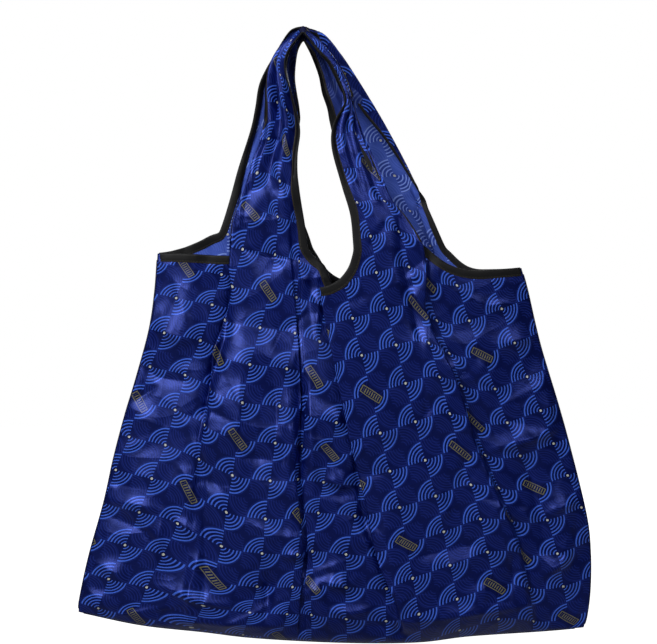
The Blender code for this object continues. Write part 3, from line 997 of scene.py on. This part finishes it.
def tape_material(name, base, edge, width):
    """Folded binding: ribbed tape with a row of stitches and a line along the edge that lies on the cloth."""
    n = Nodes(name)
    cloth = n.cloth()
    run, across = n.parts(cloth)
    across = n.math("ABSOLUTE", across)
    stitch = n.math("COMPARE", across, width * 0.82, 0.45 * MM) * (n.math("PINGPONG", run, 1.5 * MM) < 1.15 * MM)
    ribs = n.math("DIVIDE", n.math("PINGPONG", run, 0.35 * MM), 0.35 * MM)
    fuzz = n.noise(cloth, 400.0)
    rubbed = n.ramp(n.noise(cloth, 45.0, 3.0), [(0.35, 0.0), (0.8, 1.0)])
    colour = n.mix(rubbed, base, (*(c * 1.8 for c in base[:3]), 1.0))
    colour = n.mix((across > width * 0.93) * 0.8, colour, edge)
    colour = n.mix(stitch * 0.5, colour, srgb(52, 50, 46))
    normal = n.bump(stitch, 0.25 * MM, 0.8, n.bump(ribs + fuzz * 0.8, 0.06 * MM, 0.7))
    return n.finish(Base_Color=colour, Normal=normal, Roughness=fuzz * 0.2 + 0.42, Specular_IOR_Level=0.25)


PHASE = (2.0, 2.0)
OUTSIDE = (NAVY, srgb(4, 14, 76), srgb(66, 106, 222), srgb(26, 42, 124), srgb(2, 6, 56))
INSIDE = (srgb(56, 80, 172), srgb(72, 98, 192), srgb(140, 168, 250), srgb(84, 110, 205), srgb(46, 68, 160))
PRINT = print_material("printed_nylon", PHASE, OUTSIDE, 0.29)
PRINT_BACK = print_material("printed_nylon_back", (0.37, 0.21), OUTSIDE, 0.29)
# the inside gets painted shade high on the straps (last argument)
INNER = print_material("nylon_inside", PHASE, INSIDE, 0.5, 0.8)
TAPE = tape_material("binding_tape", srgb(11, 11, 13), srgb(64, 56, 34), TAPE_WIDTH)
SEAM = tape_material("seam_tape", srgb(5, 10, 52), srgb(10, 18, 80), 60 * MM)

front, back = Cloth(FRONT_SIDE), Cloth(BACK_SIDE)
crumple(front, FRONT_CREASES + random_creases(11, 170), 0.9)
crumple(back, random_creases(23, 200), 0.8)
front_cloth = layered("front_cloth", front, PRINT, INNER)
back_cloth = layered("back_cloth", back, PRINT_BACK, INNER)
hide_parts("front_panel", "front_strap_left", "front_strap_right")
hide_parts("back_panel", "back_strap_left", "back_strap_right")

# Edge tapes
sides = {"front": (front, Surface(front)), "back": (back, Surface(back))}
full = [(0, 1)]
narrow = [(-185, 0.85), (-150, 0.3), (-15, 0.3), (0, 1)]
tapes, edges = {}, {}
for side, (cloth, surface) in sides.items():
    left, right = cloth.side["straps"]
    ring = np.r_[
        cloth.strap_edge("left", 0)[:-1], cloth.rim(left["to"], right["from"]), cloth.strap_edge("right", 0)[::-1][1:]
    ]
    tapes[side] = tape(side + "_opening_tape", [(surface, ring, full)])
    edges[side] = [
        np.r_[cloth.strap_edge("left", -1)[:-1], cloth.rim(left["from"], 0)],
        np.r_[cloth.strap_edge("right", -1)[:-1], cloth.rim(right["to"], len(cloth.stations) - 1)],
    ]
tapes["outer"] = tape(
    "outer_edge_tape",
    [
        (sides["front"][1], edges["front"][0], full), (sides["back"][1], edges["back"][0][::-1], full),
        (sides["back"][1], edges["back"][1], narrow), (sides["front"][1], edges["front"][1][::-1], full),
    ],
)
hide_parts("front_inner_tape", "front_neck_tape")
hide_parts("back_inner_tape", "back_neck_tape")
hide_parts("front_outer_tape", "back_outer_tape", "mouth_tape_left", "mouth_tape_right")

# Seams: one across the straps at the top of each side, and the three that join the sides
seams = []
for side, (cloth, _) in sides.items():
    left, right = cloth.top_rows(3)
    rows = np.vstack([left[:-1], (left[-1:] + right[:1]) / 2, right[1:]])
    seams.append(strip(side + "_top_seam", rows, 0.6 * MM, "handles"))
    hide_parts(side + "_top_seam")
for name, line, inward in (
    ("side_seam_left", LEFT_LINE, (1, 0)),
    ("side_seam_right", RIGHT_LINE, (-1, 0)),
    ("bottom_seam", BOTTOM_LINE, (0, 1)),
):
    seams.append(bead(name, line, inward, "bag"))
    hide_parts(name)

for piece in (front_cloth, back_cloth, *tapes.values()):
    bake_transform(piece)
for piece, cloth, trims in (
    (front_cloth, front, [tapes["front"], tapes["outer"], seams[0], *seams[2:]]),
    (back_cloth, back, [tapes["back"], seams[1]]),
):
    size = cloth.flat.max(0) - cloth.flat.min(0)
    cloth.flat_area()

# Camera, light and background
DISTANCE = 1.514
camera_data = bpy.data.cameras.new("camera")
camera_data.lens = 85
camera_data.sensor_width = 36
camera = put("camera", camera_data)
camera.location = (0.0248, -DISTANCE, -0.280)
camera.rotation_euler = (math.radians(90), 0, 0)
bpy.context.scene.camera = camera
bpy.context.scene.view_settings.view_transform = "Standard"

MIDDLE = Vector((0.03, 0, -0.32))
for name, place, size, power in (
    ("key", (-0.85, -1.25, 0.6), (0.8, 0.8), 19.5),
    ("soft", (0.2, -1.7, 0.9), (0.6, 0.4), 1.4),
    ("right", (0.8, -1.35, 0.75), (0.6, 0.6), 7),
    ("behind", (0.3, 1.6, 0.3), (1.2, 1.2), 14),
):
    data = bpy.data.lights.new(name, "AREA")
    data.shape = "RECTANGLE"
    data.size, data.size_y = size
    data.energy = power
    light = put(name, data)
    light.location = place
    light.rotation_euler = (MIDDLE - Vector(place)).to_track_quat("-Z", "Y").to_euler()

floor_look = Nodes("floor")
floor_look.finish(
    Base_Color=(0.35, 0.35, 0.35, 1), Roughness=0.8, Emission_Color=(1, 1, 1, 1),
    Emission_Strength=floor_look.camera_ray(),
)
FLOOR_RADIUS, FLOOR_LEVEL = 3.5, -0.612
circle = np.linspace(0, 2 * np.pi, 96, endpoint=False)
floor_points = [(FLOOR_RADIUS * x, FLOOR_RADIUS * y, FLOOR_LEVEL) for x, y in zip(np.cos(circle), np.sin(circle))]
floor_mesh = bpy.data.meshes.new("floor")
floor_mesh.from_pydata(floor_points, [], [list(range(96))])
floor_mesh.materials.append(floor_look.made)
put("floor", floor_mesh)

air = Nodes("studio", "worlds", "Background")
strength = {"Value": air.camera_ray(), "To Min": 0.04, "To Max": 1.0}
bpy.context.scene.world = air.finish(Color=(1, 1, 1, 1), Strength=air.add("ShaderNodeMapRange", inputs=strength))
